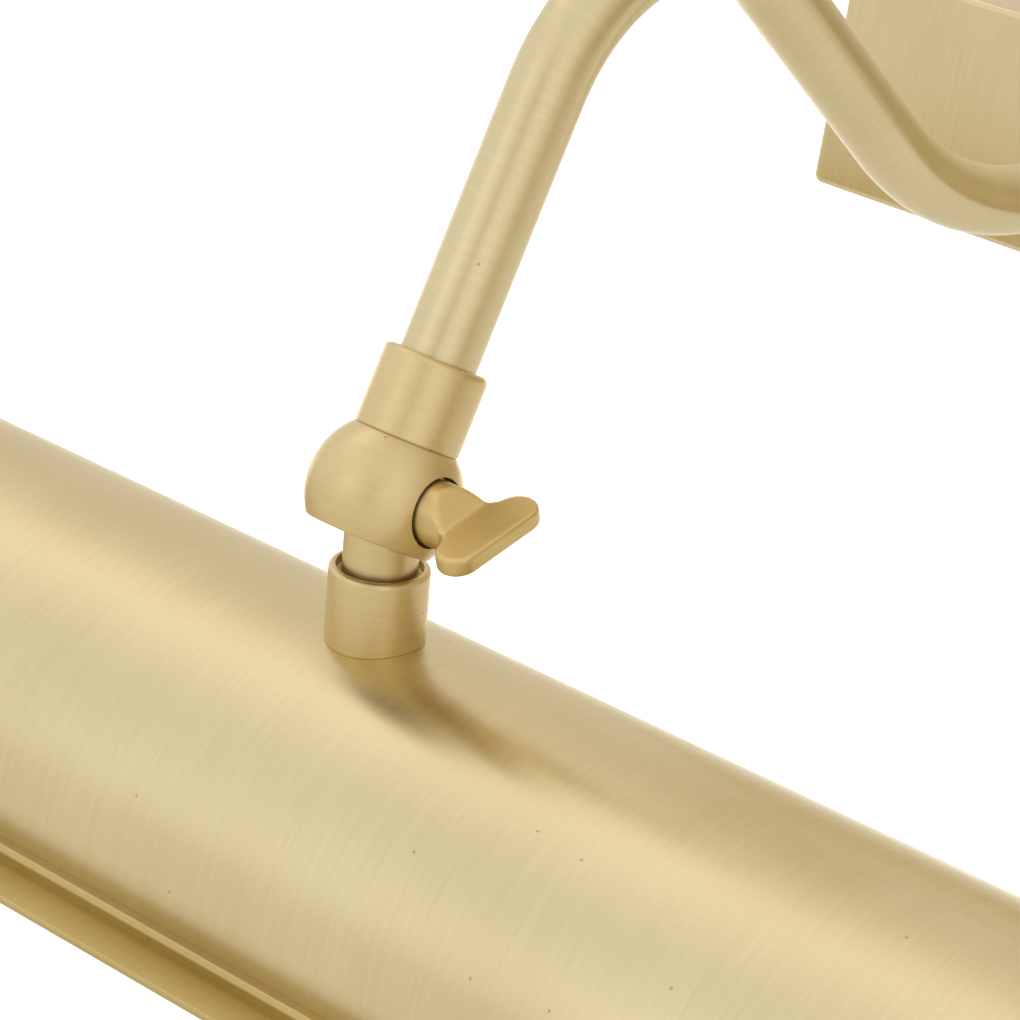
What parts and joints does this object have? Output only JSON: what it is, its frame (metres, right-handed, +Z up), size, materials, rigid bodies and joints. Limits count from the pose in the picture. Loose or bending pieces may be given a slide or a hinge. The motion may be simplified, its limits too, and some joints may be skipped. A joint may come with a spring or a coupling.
{
  "type": "picture light",
  "caption": "Picture light: a long trough shade with tubular lamps, hung from a bent wall arm by a slotted ball knuckle with a wing screw.",
  "frame": {"origin": "centre of the wall bracket's back face, on the wall plane, at the height where the arm enters the wall cover", "axes": "+X along the shade to the wing screw's side, +Y into the wall, +Z up"},
  "size_m": [0.36, 0.2185, 0.1315],
  "materials": {
    "satin_brass": "fine brushed satin, pale gold, clear lacquered",
    "plain_brass": "plain turned",
    "zinc_steel": "zinc plated, dull",
    "white_nylon": "moulded, matte",
    "black_resin": "moulded, semi-gloss",
    "black_rubber": "matte",
    "clear_glass": "clear, polished",
    "brown_sleeve": "extruded sleeve",
    "blue_sleeve": "extruded sleeve",
    "green_sleeve": "extruded sleeve with a yellow stripe"
  },
  "bodies": {
    "root": {"knuckle_socket": "satin_brass", "arm_tube": "satin_brass", "wall_bracket": "zinc_steel", "terminal_block": "white_nylon", "arm_core_live": "brown_sleeve", "arm_core_neutral": "blue_sleeve", "arm_core_earth": "green_sleeve", "wall_cover": "satin_brass", "cable_grommet": "black_rubber", "terminal_insert_earth": "plain_brass", "terminal_insert_neutral": "plain_brass", "terminal_insert_live": "plain_brass", "arm_collar": "satin_brass", "cover_screw_left": "satin_brass", "cover_screw_right": "satin_brass", "terminal_block_screw": "zinc_steel", "earth_screw": "plain_brass", "earth_washer": "plain_brass", "arm_lock_washer": "zinc_steel", "arm_lock_nut": "plain_brass", "terminal_screw_earth_arm": "zinc_steel", "terminal_screw_earth_wall": "zinc_steel", "terminal_screw_neutral_arm": "zinc_steel", "terminal_screw_neutral_wall": "zinc_steel", "terminal_screw_live_arm": "zinc_steel", "terminal_screw_live_wall": "zinc_steel"},
    "shade": {"shade_shell": "satin_brass", "shade_collar": "satin_brass", "lamp_envelope_left": "clear_glass", "lamp_envelope_right": "clear_glass", "knuckle_post": "satin_brass", "lamp_bracket": "zinc_steel", "shade_end_left": "satin_brass", "shade_end_right": "satin_brass", "holder_base_left": "black_resin", "holder_base_right": "black_resin", "lamp_cap_left": "plain_brass", "lamp_cap_right": "plain_brass", "shade_lead_left": "blue_sleeve", "shade_lead_right": "brown_sleeve", "holder_sleeve_left": "black_resin", "holder_sleeve_right": "black_resin", "post_washer": "zinc_steel", "holder_contact_left": "plain_brass", "holder_contact_right": "plain_brass", "post_nut": "plain_brass", "holder_nut_left": "plain_brass", "holder_nut_right": "plain_brass", "lamp_contact_left": "zinc_steel", "lamp_contact_right": "zinc_steel"},
    "screw_seat": {"screw_washer": "plain_brass"},
    "wing_screw": {"wing_screw": "satin_brass"}
  },
  "joints": [
    {"name": "shade_tilt", "type": "hinge", "parent": "root", "child": "shade", "pos_m": [0, -0.187, -0.02822], "axis": [1, 0, 0], "range_deg": [-26, 60]},
    {"name": "screw_travel", "type": "slide", "parent": "root", "child": "screw_seat", "axis": [1, 0, 0], "range_m": [0, 0.0007]},
    {"name": "wing_screw_turn", "type": "hinge", "parent": "screw_seat", "child": "wing_screw", "pos_m": [0, -0.187, -0.02822], "axis": [1, 0, 0], "range_deg": [0, 360]}
  ],
  "couplings": [
    {"joint": "wing_screw_turn", "follows": "screw_travel", "rad_per_m": 8975.9}
  ]
}
